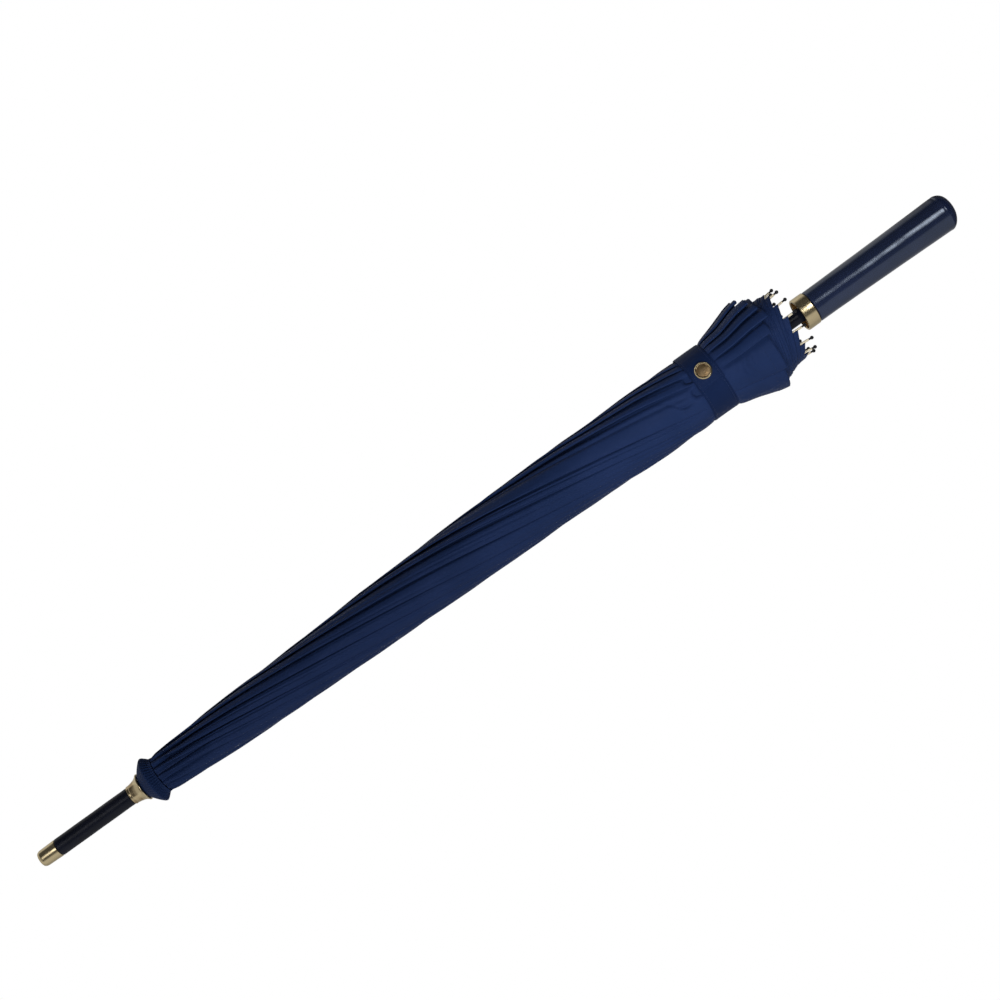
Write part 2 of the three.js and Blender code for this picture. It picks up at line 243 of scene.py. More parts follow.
def ramp(nodes, links, value, stops):
    """Colour ramp through (position, colour) stops."""
    node = nodes.new("ShaderNodeValToRGB")
    elements = node.color_ramp.elements
    while len(elements) < len(stops):
        elements.new(0.5)
    for element, (position, colour) in zip(elements, sorted(stops)):
        element.position = position
        element.color = (*colour, 1)
    links.new(value, node.inputs[0])
    return node.outputs[0]


def grey_ramp(nodes, links, value, stops, low, high):
    """Ramp through (x, grey) stops, for a value that runs from 0 at x = low to 1 at x = high."""
    return ramp(nodes, links, value, [((x - low) / (high - low), (grey,) * 3) for x, grey in stops])


def map_range(nodes, links, value, low, high):
    """The value's share of the way from low to high."""
    node = nodes.new("ShaderNodeMapRange")
    node.inputs["From Min"].default_value = low
    node.inputs["From Max"].default_value = high
    links.new(value, node.inputs["Value"])
    return node.outputs[0]


# ---- camera, light and floor ----
def add_camera():
    """Square to the shaft, with the ferrule at the lower left and the handle at the upper right."""
    data = bpy.data.cameras.new("camera")
    data.lens = CAMERA_LENS
    data.sensor_width = 36
    data.clip_end = 20
    camera = bpy.data.objects.new("camera", data)
    right = Vector((-math.sin(CAMERA_TILT), 0, -math.cos(CAMERA_TILT)))
    up = Vector((math.cos(CAMERA_TILT), 0, -math.sin(CAMERA_TILT)))
    axes = Matrix((right, up, right.cross(up))).transposed().to_4x4()
    camera.matrix_world = Matrix.Translation(CAMERA_PLACE) @ axes
    bpy.context.collection.objects.link(camera)
    bpy.context.scene.camera = camera


def add_floor():
    """Plain white disc under the handle's end. It lights nothing: the studio does that."""
    angle = np.linspace(0, 2 * np.pi, 96, endpoint=False)
    radius = np.array([0.0, 150, 300])
    points = [(r * math.cos(a), r * math.sin(a), -3) for r in radius for a in angle]
    white = bpy.data.materials.new("floor_white")
    white.use_nodes = True
    nodes, links = white.node_tree.nodes, white.node_tree.links
    nodes.clear()
    glow = nodes.new("ShaderNodeEmission")
    glow.inputs["Strength"].default_value = 1.0
    output = nodes.new("ShaderNodeOutputMaterial")
    links.new(glow.outputs[0], output.inputs[0])
    floor = make_object("floor", points, grid_faces(3, 96, wrap=True), [white])
    weld(floor)
    floor.visible_glossy = False
    floor.visible_diffuse = False
    floor.visible_shadow = False


# radiance of the room by direction round the shaft: (degrees from the camera towards +X, radiance)
STUDIO = [(-180, 0.5), (-135, 0.3), (-108, 0.32), (-98, 0.4), (-60, 0.5), (-38, 0.5), (-28, 0.1),
          (-4, 0.07), (30, 0.06), (90, 0.06), (112, 0.6), (135, 0.45), (180, 0.5)]
# radiance of the top of the room by the upward part of the direction
POLE = [(0.54, 0), (0.8, 0.4)]
# strip light: its share round the shaft, its share by the upward part of the direction, its radiance
KEY_ROUND = [(-180, 0), (-3, 0), (10, 1), (16, 1), (28, 0), (180, 0)]
KEY_HEIGHT = [(-0.36, 0), (-0.32, 1), (-0.249, 1), (-0.239, 0.25), (-0.23, 0.03), (-0.2, 0.02),
              (0.2, 0.06), (0.26, 0.35), (0.34, 0.35), (0.42, 0)]
KEY_POWER = 9.0
# dark flags: one below everything, and one on the +X side below the object
FLAG_BELOW = [(-0.6, 1), (-0.36, 0)]
FLAG_LOW = [(-0.296, 1), (-0.26, 0)]
FLAG_ROUND = [(64.8, 0), (79.2, 1)]
FLAG_DEPTH = 0.85


def studio_radiance(nodes, links):
    """Radiance of the studio by direction: the room less its flags, and the strip light."""
    def combine(operation, a, b):
        return math_node(nodes, links, operation, a, b)

    def by_turn(stops):
        return grey_ramp(nodes, links, turn_share, stops, -180, 180)

    def by_height(stops):
        return grey_ramp(nodes, links, height_share, stops, -1, 1)

    coords = nodes.new("ShaderNodeTexCoord")
    split = nodes.new("ShaderNodeSeparateXYZ")
    links.new(coords.outputs["Generated"], split.inputs[0])
    turn = combine("ARCTAN2", split.outputs[0], combine("MULTIPLY", split.outputs[1], -1.0))
    turn_share = map_range(nodes, links, turn, -math.pi, math.pi)
    height_share = map_range(nodes, links, split.outputs[2], -1.0, 1.0)
    room = combine("MAXIMUM", by_turn(STUDIO), by_height(POLE))
    side_flag = combine("MULTIPLY", by_turn(FLAG_ROUND), by_height(FLAG_LOW))
    flag = combine("MAXIMUM", side_flag, by_height(FLAG_BELOW))
    lit = combine("SUBTRACT", 1.0, combine("MULTIPLY", flag, FLAG_DEPTH))
    key = combine("MULTIPLY", by_turn(KEY_ROUND), by_height(KEY_HEIGHT))
    return combine("ADD", combine("MULTIPLY", room, lit), combine("MULTIPLY", key, KEY_POWER))


def add_studio():
    """World that lights the object as a studio does, and that the camera sees as plain white."""
    world = bpy.data.worlds.new("studio")
    bpy.context.scene.world = world
    world.use_nodes = True
    nodes, links = world.node_tree.nodes, world.node_tree.links
    nodes.clear()
    light = nodes.new("ShaderNodeBackground")
    white = nodes.new("ShaderNodeBackground")
    for background in (light, white):
        background.inputs["Color"].default_value = (1, 1, 1, 1)
    links.new(studio_radiance(nodes, links), light.inputs["Strength"])
    path = nodes.new("ShaderNodeLightPath")
    choose = nodes.new("ShaderNodeMixShader")
    links.new(path.outputs["Is Camera Ray"], choose.inputs[0])
    links.new(light.outputs[0], choose.inputs[1])
    links.new(white.outputs[0], choose.inputs[2])
    output = nodes.new("ShaderNodeOutputWorld")
    links.new(choose.outputs[0], output.inputs["Surface"])
    bpy.context.scene.view_settings.view_transform = "Standard"


def add_lamp(name, kind, energy, place, aim):
    """Soft light from place towards aim, in metres, kept out of view and out of the gloss."""
    data = bpy.data.lights.new(name, kind)
    data.energy = energy
    lamp = bpy.data.objects.new(name, data)
    lamp.location = place
    lamp.rotation_euler = (Vector(aim) - Vector(place)).to_track_quat("-Z", "Y").to_euler()
    lamp.visible_camera = False
    lamp.visible_glossy = False
    bpy.context.collection.objects.link(lamp)
    return data


# wide lights: (name, watts per square metre, where it comes from, spread in degrees)
WIDE_LIGHTS = [
    ("front_light", 2.2, (-0.36, -1.0, 0.62), 12),
    ("back_light_left", 2.0, (-0.57, 0.82, 0.65), 30),
    ("back_light_right", 2.0, (0.57, 0.82, 0.65), 30),
    ("under_light", 0.8, (0, -0.1, -1.0), 30),
]
MIDDLE = (0, 0, 0.45)  # the point that the wide lights are aimed at
NEAR_LAMP = {"energy": 0.41, "place": (-0.03, -0.25, 0.28), "aim": (0, 0, 0.28)}
NEAR_LAMP_SIZE = 0.12


def add_lamps():
    """Wide lights all round, and a small lamp near the strap, where the cloth is lightest."""
    for name, energy, place, spread in WIDE_LIGHTS:
        light = add_lamp(name, "SUN", energy, place, MIDDLE)
        light.angle = math.radians(spread)
    near = add_lamp("near_lamp", "AREA", **NEAR_LAMP)
    near.size = NEAR_LAMP_SIZE


# ---- materials ----
class Shader:
    """A material with one Principled shader, and short ways to add texture nodes to it."""

    def __init__(self, name, coordinates="Object", **settings):
        self.material = bpy.data.materials.new(name)
        self.material.use_nodes = True
        self.nodes = self.material.node_tree.nodes
        self.links = self.material.node_tree.links
        self.bsdf = self.nodes["Principled BSDF"]
        for key, value in settings.items():
            self.bsdf.inputs[key.replace("_", " ")].default_value = value
        coords = self.nodes.new("ShaderNodeTexCoord")
        self.place = coords.outputs[coordinates]

    def scaled(self, x, y, z=1.0):
        """Texture coordinates multiplied by x, y and z."""
        node = self.nodes.new("ShaderNodeMapping")
        node.inputs["Scale"].default_value = (x, y, z)
        self.links.new(self.place, node.inputs["Vector"])
        return node.outputs[0]

    def noise(self, scale, detail=3.0, roughness=0.5, place=None):
        """Soft cloudy pattern."""
        node = self.nodes.new("ShaderNodeTexNoise")
        node.inputs["Scale"].default_value = scale
        node.inputs["Detail"].default_value = detail
        node.inputs["Roughness"].default_value = roughness
        self.links.new(self.place if place is None else place, node.inputs["Vector"])
        return node.outputs[0]

    def cells(self, scale):
        """Pattern of small cells, as the distance to the nearest cell's middle."""
        node = self.nodes.new("ShaderNodeTexVoronoi")
        node.feature = "F1"
        node.inputs["Scale"].default_value = scale
        self.links.new(self.place, node.inputs["Vector"])
        return node.outputs["Distance"]

    def threads(self, direction, scale):
        """Parallel threads, as waves across one direction."""
        node = self.nodes.new("ShaderNodeTexWave")
        node.bands_direction = direction
        node.inputs["Scale"].default_value = scale
        self.links.new(self.place, node.inputs["Vector"])
        return node.outputs[0]

    def math(self, operation, a, b=None):
        """Result of a math node."""
        return math_node(self.nodes, self.links, operation, a, b)

    def ramp(self, value, stops):
        """Colour ramp through (position, colour) stops."""
        return ramp(self.nodes, self.links, value, stops)

    def colour(self, value):
        """Links the base colour to a socket."""
        self.links.new(value, self.bsdf.inputs["Base Color"])

    def roughness(self, value, low, high):
        """Links the roughness to a pattern, from low to high."""
        node = self.nodes.new("ShaderNodeMapRange")
        node.inputs["To Min"].default_value = low
        node.inputs["To Max"].default_value = high
        self.links.new(value, node.inputs["Value"])
        self.links.new(node.outputs[0], self.bsdf.inputs["Roughness"])

    def bump(self, height, distance, strength=1.0):
        """Adds a bump of that many metres on top of the bumps before it."""
        node = self.nodes.new("ShaderNodeBump")
        node.inputs["Distance"].default_value = distance
        node.inputs["Strength"].default_value = strength
        self.links.new(height, node.inputs["Height"])
        normal = self.bsdf.inputs["Normal"]
        if normal.is_linked:
            self.links.new(normal.links[0].from_socket, node.inputs["Normal"])
        self.links.new(node.outputs[0], normal)


def cloth_material(name, dark, light, thread_pitch):
    """Thin waterproof cloth: fine plain weave, soft crumples and a faint sheen."""
    s = Shader(name, "UV", Roughness=0.55, Sheen_Weight=0.02, Sheen_Roughness=0.4,
               Specular_IOR_Level=0.1)
    s.bsdf.inputs["Sheen Tint"].default_value = (0.35, 0.5, 1.0, 1)
    threads = 1 / thread_pitch / 2
    warp = s.threads("X", threads / 3.14)
    weft = s.threads("Y", threads / 3.14)
    weave = s.math("MAXIMUM", warp, weft)
    cloud = s.noise(14, 4, 0.6)
    shade = s.math("ADD", s.math("MULTIPLY", weave, 0.3), s.math("MULTIPLY", cloud, 0.9))
    s.colour(s.ramp(shade, [(0.25, dark), (0.85, light)]))
    s.roughness(s.noise(60, 3), 0.42, 0.6)
    s.bump(s.noise(1, 3, 0.55, s.scaled(160, 22)), 0.0004, 0.5)
    s.bump(weave, 0.00005, 0.5)
    return s.material


def leather_material():
    """Glossy calf leather: fine pebble grain, pores and slightly cloudy dye."""
    s = Shader("navy_leather", Roughness=0.13, Specular_IOR_Level=0.85, Coat_Weight=0.15,
               Coat_Roughness=0.1)
    s.bsdf.inputs["Specular Tint"].default_value = (0.70, 0.82, 1.0, 1)
    cloud = s.noise(45, 4, 0.6)
    s.colour(s.ramp(cloud, [(0.3, (0.0055, 0.0095, 0.026)), (0.75, (0.009, 0.014, 0.040))]))
    s.roughness(s.noise(220, 4), 0.10, 0.17)
    s.bump(s.noise(70, 3), 0.0003, 0.2)
    s.bump(s.cells(1500), 0.00006, 0.1)
    s.bump(s.noise(2600, 2), 0.00002, 0.15)
    return s.material


def gold_material(name="gold", brown_share=0.0):
    """Satin gold plate with faint turning marks. brown_share adds brown patches, used as painted shade
    inside the collar's cup and as a painted reflection at the top cap's narrow end.
    """
    s = Shader(name, Metallic=1.0, Roughness=0.2)
    patch = s.noise(170, 5, 0.65)
    bright, brown = (0.80, 0.66, 0.40), (0.36, 0.21, 0.09)
    # the brown tone is painted shade inside the collar's cup and a painted reflection at the top cap's
    # narrow end
    dark_tone = tuple(b * (1 - brown_share) + w * brown_share for b, w in zip(bright, brown))
    s.colour(s.ramp(patch, [(0.3, dark_tone), (0.55 + 0.1 * brown_share, bright)]))
    s.roughness(s.noise(300, 3), 0.14, 0.3)
    s.bump(s.noise(1, 2, 0.5, s.scaled(60, 60, 2600)), 0.00001, 0.25)
    return s.material


def pale_gold_material():
    """Thin gold lacquer of the ribs' tips."""
    s = Shader("pale_gold", Metallic=0.45, Roughness=0.35)
    s.colour(s.ramp(s.noise(300, 3), [(0.3, (0.62, 0.54, 0.38)), (0.7, (0.78, 0.71, 0.55))]))
    s.roughness(s.noise(500, 3), 0.28, 0.42)
    s.bump(s.noise(900, 2), 0.00002, 0.3)
    return s.material


def snap_reflection_material():
    """Satin metal of the snap's dome, slightly mottled; its warm brown colour is a painted reflection."""
    s = Shader("snap_painted_reflection", Metallic=1.0, Roughness=0.42)
    s.colour(s.ramp(s.noise(260, 4, 0.6), [(0.3, (0.42, 0.27, 0.13)), (0.7, (0.60, 0.43, 0.24))]))
    s.roughness(s.noise(500, 3), 0.34, 0.5)
    s.bump(s.noise(700, 2), 0.00003, 0.3)
    return s.material


def metal_material(name, dark, light, metallic, low, high):
    """Painted or bare steel with drawing marks along it. Its roughness runs from low to high."""
    s = Shader(name, Metallic=metallic, Roughness=0.4)
    s.colour(s.ramp(s.noise(120, 4), [(0.3, dark), (0.7, light)]))
    s.roughness(s.noise(400, 3), low, high)
    s.bump(s.noise(1, 2, 0.5, s.scaled(2400, 2400, 60)), 0.00002, 0.4)
    return s.material


def plastic_material():
    """Moulded black plastic with a fine spark finish."""
    s = Shader("notch_plastic", Roughness=0.5)
    s.colour(s.ramp(s.noise(90, 3), [(0.3, (0.010, 0.010, 0.012)), (0.7, (0.018, 0.018, 0.021))]))
    s.roughness(s.noise(900, 2), 0.42, 0.58)
    s.bump(s.noise(4200, 2), 0.00002, 0.5)
    return s.material


def beech_material():
    """Plain turned beech with long grain and short flecks."""
    s = Shader("beech", Roughness=0.6)
    grain = s.noise(1, 4, 0.6, s.scaled(260, 260, 14))
    s.colour(s.ramp(grain, [(0.3, (0.30, 0.17, 0.08)), (0.7, (0.50, 0.32, 0.17))]))
    s.roughness(grain, 0.55, 0.7)
    s.bump(grain, 0.00005, 0.4)
    return s.material


def thread_material():
    """Twisted polyester sewing thread."""
    s = Shader("navy_thread", Roughness=0.6, Specular_IOR_Level=0.15, Sheen_Weight=0.04)
    s.colour(s.ramp(s.noise(3000, 2), [(0.3, (0.004, 0.010, 0.036)), (0.7, (0.008, 0.018, 0.056))]))
    s.roughness(s.noise(900, 2), 0.5, 0.7)
    return s.material


add_camera()
add_studio()
add_lamps()
add_floor()
CLOTH = cloth_material("canopy_cloth", (0.0044, 0.0112, 0.0380), (0.0090, 0.0185, 0.0600), 0.00042)
STRAP_CLOTH = cloth_material("strap_cloth", (0.0024, 0.0070, 0.0265), (0.0048, 0.0114, 0.0410), 0.00050)
THREAD = thread_material()
LEATHER = leather_material()
GOLD = gold_material()
# gold with brown patches: painted shade inside the collar's cup and a painted reflection at the top cap's
# narrow end
PAINTED_DARK_GOLD = gold_material("gold_painted_dark", 0.8)
PALE_GOLD = pale_gold_material()
# brown colour of the snap dome's middle: a painted reflection
SNAP_PAINTED_REFLECTION = snap_reflection_material()
BLACK_TUBE = metal_material("shaft_black", (0.002, 0.003, 0.007), (0.004, 0.005, 0.011), 0.0, 0.3, 0.42)
BLACK_TUBE.node_tree.nodes["Principled BSDF"].inputs["Specular IOR Level"].default_value = 0.25
RIB_BLACK = metal_material("rib_black", (0.012, 0.012, 0.014), (0.022, 0.022, 0.026), 0.5, 0.3, 0.5)
STEEL = metal_material("spring_steel", (0.42, 0.43, 0.45), (0.60, 0.61, 0.63), 1.0, 0.22, 0.4)
PLASTIC = plastic_material()
BEECH = beech_material()

# ---- canopy: fourteen gores, each folded in half and wrapped round the bundle ----
# outside of the folded canopy: (height, radius)
OUTSIDE = [(797.6, 15.4), (790, 16.9), (777, 17.8), (745, 19.5), (712, 21.0), (663, 22.2), (614, 23.8),
           (548, 25.8), (483, 27.3), (417, 28.1), (351, 28.9), (319, 29.9), (302, 30.3), (286, 30.0),
           (272, 29.9), (262, 29.6), (259, 29.1), (257, 28.3), (236, 28.3), (234, 29.9), (231, 31.6),
           (228, 32.6), (218, 35.2), (207, 38.8), (196, 42.0), (160, 46)]
# height of the step at each crease, between one pleat and the next: (height, step)
STEP = [(797.6, 2.4), (760, 1.9), (614, 2.4), (483, 2.7), (300, 2.5), (266, 1.8), (257, 0.5), (236, 0.5),
        (228, 2.4), (215, 3.4), (160, 3.8)]
# how far each gore's crease is turned from its even place, in degrees, at these heights
CREASE_Z = (775, 650, 493, 300, 215)
CREASE_TURN = [
    (5, 0, 2, -8, -27), (-1.5, -4, -2, -6, -25), (-4, -3, 1, -3, -23), (-3, -3.6, 0, -1, -21),
    (0, -6, 2, 2, -19), (3, 2, 6, 4, -15), (-2, 4, 0, -2, -7), (2, -3, 14, 18.5, 11),
    (-4, 3, 6, 11, 1.5), (1, -2, 2, 4, -9), (4, 2, -3, -3, -20), (-3, 0, 1, -8, -26),
    (2, -4, -2, -9.5, -28), (9, 3, 3, -9, -28),
]
# height of each gore's hem at its crease
HEM_CORNER = (189, 191, 188, 190, 192, 193, 190.5, 186.5, 181, 183, 186, 190, 192, 190)
HEM_AT_RIB = 166
STEEP = 1e3  # a slope that lets the rolled edge limit the depth on the roll only
VALLEY = 1.3  # extra depth of the cloth at the foot of the next gore's crease
TWIST_RATE = 0.37  # degrees per millimetre
TWIST_END = 257  # the pleats hang straight below this height
FIRST_TURN = 10.5
HEM_TURNED = 10.0  # width of the hem's turned-in cloth
HEM_THICKNESS = 0.45
# rows of the turned-in hem: how far up from the edge, and the share of the hem's thickness behind it
TURNED_ROWS = ((-0.12, 0.5), (0.5, 1.0), (3.5, 1.0), (HEM_TURNED, 1.0))
HEM_STITCH, HEM_STITCH_GAP = 3.0, 0.7  # length of one stitch with its gap, and of the gap


def crease_angle(k, z):
    """Direction of gore k's crease at height z, in degrees."""
    down = CLOTH_TOP - np.maximum(z, TWIST_END)
    twist = TWIST_RATE * down + FIRST_TURN * (1 - np.exp(-down / 15))
    laps, index = divmod(k, RIB_COUNT)
    ease = 1 - np.exp(-(CLOTH_TOP - z) / 20)
    turn = smooth_curve(z, zip(CREASE_Z, CREASE_TURN[index])) * ease
    return FIRST_RIB + (index + laps * RIB_COUNT + 0.5) * PITCH - twist + turn


def root_radius(z):
    """Radius of the cloth where it lies on a rib's back."""
    back = PIVOT_R + np.maximum(0, CROWN_Z - z) * math.tan(RIB_LEAN) + RIB_BACK + 0.4
    return back + 0.8 * smoothstep(-z, -182, -166) + 2.2 * smoothstep(z, 793.5, GORE_TOP)


def tucks(k, z, share):
    """Depth of the small folds between gore k's crease (share 0) and the next gore's (share 1)."""
    total = 0
    for n, (place, depth) in enumerate(((0.30, 0.5), (0.56, 0.8), (0.80, 0.45))):
        seed = 3 * k + n
        middle = place + 0.10 * math.sin(2.4 * seed) + 0.05 * np.sin(z / 95 + 1.3 * seed)
        strength = smoothstep(np.sin(z / 130 + 1.9 * seed), -0.75, 0.5)
        total = total + depth * strength * bump(share, middle, 0.07)
    return total * smoothstep(z, 262, 285)


def pinches(z, view):
    """Depth of the dents and wrinkles round the snap. view is in degrees from -Y towards +X."""
    deep = bump(view, -3, 7) + 0.8 * bump(view, 22.5, 6)
    dent = 7.5 * deep * smoothstep(-z, -266, -260.5) * smoothstep(z, 240, 256)
    path = smooth_curve(z, [(264, -16), (270, -14), (277, -12), (281.5, -2.5), (287, 10), (291, 18)])
    fold = bump(view, path + 1.5, 2.4) - 0.6 * bump(view, path - 4, 3)
    dent = dent + 2.3 * fold * bump(z, 278, 9)
    bell = np.sin(2 * np.pi * (z + 0.16 * view) / 8.5) * bump(view, -8, 9) * bump(z, 215, 9)
    long_waves = np.sin(2 * np.pi * (z - 0.3 * view) / 13 + 1)
    bell = bell + 0.8 * long_waves * bump(view, -22, 10) * bump(z, 218, 9)
    return dent + 1.3 * bell


def surface_waves(k, z, angle):
    """Small uneven swellings and wrinkles of the outer surface, in millimetres."""
    lean = np.radians(angle)
    shift = 1.4 * np.cos(lean) * smoothstep(z, 295, 390) * smoothstep(-z, -660, -500)
    waves = 0.30 * ripple(z / 150, angle / 70, 1.3 + k) + 0.12 * ripple(z / 40, angle / 30, 5.1 + k)
    near_strap = np.exp(-np.abs(z - STRAP_Z) / 26) * smoothstep(np.abs(z - STRAP_Z), 8, 16)
    gather = 0.5 * near_strap * ripple(angle / 17, z / 160, 2.2 + 3 * k)
    quiet = 1 - 0.8 * bump(z, STRAP_Z, 12)
    return (waves * quiet + gather) * smoothstep(-z, -CLOTH_TOP, -780) + shift


def folded(k, u, v):
    """Points of gore k in millimetres. u runs from its first rib (0) over the crease to the next (1),
    v from the crown (0) to the hem (1)."""
    u, v = np.broadcast_arrays(np.asarray(u, float), np.asarray(v, float))
    s = np.abs(2 * u - 1)  # 0 on the crease, 1 on a rib
    corner = HEM_CORNER[k % RIB_COUNT]
    hem = corner - (corner - HEM_AT_RIB) * s**2
    hem = hem + 0.5 * ripple(u * 4, 0.3 * k, 0.7 + k) * smoothstep(s, 0.0, 0.1)
    z = GORE_TOP + (hem - GORE_TOP) * v
    crease = crease_angle(k, z)
    width = np.maximum(crease_angle(k + 1, z) - crease, 4)
    # degrees from the crease to the gore's second rib and to its first
    q_out = FIRST_RIB + (k + 1) * PITCH - crease
    q_in = q_out - PITCH
    outer = smooth_curve(z, OUTSIDE)
    room = np.maximum(outer - root_radius(z), 0.4)
    # 0 near the crown, where the gores only stand out between their ribs, and 1 where they overlap
    laps = smoothstep(q_out / PITCH, 0.6, 2.5)
    step = room * (1 - laps) + np.minimum(smooth_curve(z, STEP), 0.62 * room) * laps
    visible = np.minimum(width, 0.6 * q_out)
    valley = np.minimum(VALLEY, 0.28 * room) * laps
    roll = 0.25 * step

    def drop(d):
        """Depth below the outside at d degrees from the crease, under the outer layer."""
        share = np.clip(d / visible, 0, 1)
        strip = step * share ** 2.4 + tucks(k, z, share) * laps + valley * smoothstep(share, 0.84, 1)
        past = np.clip((d - visible) / np.maximum(q_out - visible, 1), 0, 1)
        return strip + (room - step - valley) * past ** 0.9

    def rolled(d):
        """How far the cloth has risen from its rolled edge at d degrees from the crease."""
        a = np.clip(np.abs(np.radians(d)) * outer / roll, 0, 1)
        return roll * np.sqrt(np.clip(1 - (1 - a) ** 2, 0, 1))

    d_out = q_out * s
    d_in = q_in * s
    depth_out = np.maximum(drop(d_out), 0) + roll - rolled(d_out)
    under = 0.5 + 0.5 * s**2
    beneath = np.maximum(drop(d_in) * (1 - under) + drop(d_in + PITCH) * under, 0)
    past_roll = np.maximum(np.abs(np.radians(d_in)) * outer - roll, 0)
    beneath = np.minimum(beneath, roll + rolled(d_in) + STEEP * past_roll)
    ridge = room * np.clip(s, 0, 1) ** 1.3
    over = smoothstep(q_in, -6, 16)  # 1 where the crease has turned past the first rib
    depth_in = ridge * (1 - over) + beneath * over
    first_half = u < 0.5
    depth = np.where(first_half, depth_in, depth_out)
    depth = np.where(s < 1e-9, roll, depth)
    angle = crease + np.where(first_half, d_in, d_out)
    near = 1 - np.clip(depth / room, 0, 1)
    view = (angle + 270) % 360 - 180
    from_rib = np.abs((angle - FIRST_RIB + PITCH / 2) % PITCH - PITCH / 2)
    spare = 0.85 * near * room + 6 * smoothstep(from_rib, 2, 7) * near**0.3
    dent = np.minimum(pinches(z, view), spare)
    radius = outer + surface_waves(k, z, angle) * near - depth - dent
    lean = np.radians(angle)
    return np.stack([radius * np.cos(lean), radius * np.sin(lean), z], -1)


def outward(k, u, v):
    """Unit normal of the cloth's outer face."""
    e = 2e-4
    across = folded(k, np.clip(u + e, 0, 1), v) - folded(k, np.clip(u - e, 0, 1), v)
    down = folded(k, u, np.clip(v + e, 0, 1)) - folded(k, u, np.clip(v - e, 0, 1))
    normal = np.cross(down, across)
    return normal / np.maximum(np.linalg.norm(normal, axis=-1, keepdims=True), 1e-12)


def gore_columns(k, z):
    """Places across half a gore, from the crease (0) to the rib (1): close together at the crease."""
    q_out = FIRST_RIB + (k + 1) * PITCH - crease_angle(k, z)
    width = crease_angle(k + 1, z) - crease_angle(k, z)
    visible = np.minimum(width, 0.6 * q_out) / q_out
    fine = 0.8 / np.radians(q_out) / 25
    roll = fine * (1 - np.cos(np.linspace(0, np.pi / 2, 5)))
    strip = fine + (visible - fine) * np.linspace(0, 1, 23)[1:]
    rest = visible + (1 - visible) * np.linspace(0, 1, 15)[1:]
    return np.concatenate([roll, strip, rest])


def sin_weight(share):
    """Flat coordinate whose smooth step is the given share."""
    return 0.5 - np.sin(np.arcsin(1 - 2 * np.clip(share, 0, 1)) / 3)


GORE_ROWS = np.concatenate([np.linspace(0, 0.80, 92)[:-1], np.linspace(0.80, 1, 64)])


def gore_grid(k):
    """Shares across and down gore k of its points, row by row."""
    across, down = [], []
    for v in GORE_ROWS:
        s = gore_columns(k, GORE_TOP + (HEM_CORNER[k] - GORE_TOP) * v)
        across.append(np.concatenate([0.5 - 0.5 * s[::-1], 0.5 + 0.5 * s[1:]]))
        down.append(np.full(2 * len(s) - 1, v))
    return np.array(across), np.array(down)


def turned_hem(k, u):
    """Rows of points that turn in behind the hem, at shares u across it."""
    length = GORE_TOP - HEM_CORNER[k]
    rows = []
    for back, depth in TURNED_ROWS:
        v = np.full(len(u), 1 - max(back, 0) / length)
        at = folded(k, u, v) - outward(k, u, v) * HEM_THICKNESS * depth
        at[:, 2] += min(back, 0)
        rows.append(at)
    return np.array(rows)


def gore(k):
    """One gore with its hem turned in and stitched."""
    u, v = gore_grid(k)
    cols = u.shape[1]
    points = np.concatenate([folded(k, u, v), turned_hem(k, u[-1])])
    extra = len(TURNED_ROWS)
    share = np.concatenate([u, np.repeat(u[-1:], extra, 0)])
    down = np.concatenate([v, np.ones((extra, cols))])
    faces = grid_faces(len(points), cols)
    uv = np.stack([(share - 0.5) * GORE_FLAT[0] * down, down * GORE_FLAT[1]], -1).reshape(-1, 2)
    seam_points, seam_share, seam_faces = hem_stitches(k, first=points.size // 3)
    all_points = np.concatenate([points.reshape(-1, 3), seam_points])
    all_share = np.concatenate([share.ravel(), seam_share])
    all_faces = np.concatenate([faces, seam_faces])
    slots = np.concatenate([np.zeros(len(faces), int), np.ones(len(seam_faces), int)])
    all_uv = np.concatenate([uv, np.zeros((len(seam_points), 2))])
    rib, panel = f"rib_{k + 1:02d}", f"canopy_panel_{k + 1:02d}"
    obj = make_object(f"gore_{k + 1:02d}", all_points, all_faces, [CLOTH, THREAD], slots, all_uv)
    bend(obj, all_points, all_share)
    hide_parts(panel)


def bend(obj, points, share):
    """Puts each point's weight from its share in obj, bakes obj's transform, and puts the points back."""
    flat = np.zeros((len(points), 3))
    flat[:, 0] = sin_weight(share)
    obj.data.vertices.foreach_set("co", flat.ravel())
    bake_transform(obj)
    obj.data.vertices.foreach_set("co", (points / 1000).ravel())
    obj.data.update()


def hem_stitches(k, first):
    """Short thread stitches along the hem: points, shares and faces."""
    v = 1 - (HEM_TURNED - 1.2) / (GORE_TOP - HEM_CORNER[k])
    row = np.full(4, v)
    lift = np.array([-0.05, 0.14, 0.14, -0.05])[:, None]
    count = int(GORE_FLAT[0] * 1000 / HEM_STITCH)
    half_gap = 0.5 * HEM_STITCH_GAP / HEM_STITCH
    points, shares, faces = [], [], []
    for n in range(count):
        u = np.linspace((n + half_gap) / count, (n + 1 - half_gap) / count, 4)
        path = folded(k, u, row) + outward(k, u, row) * lift
        ring, quads = tube(path, np.array([0.05, 0.16, 0.16, 0.05]), 5)
        faces.append(quads + first + sum(len(p) for p in points))
        points.append(ring)
        shares.append(np.repeat(u, 5))
    return np.concatenate(points), np.concatenate(shares), np.concatenate(faces)


for number in range(RIB_COUNT):
    gore(number)


# ---- rosette ----
PLEATS = 46


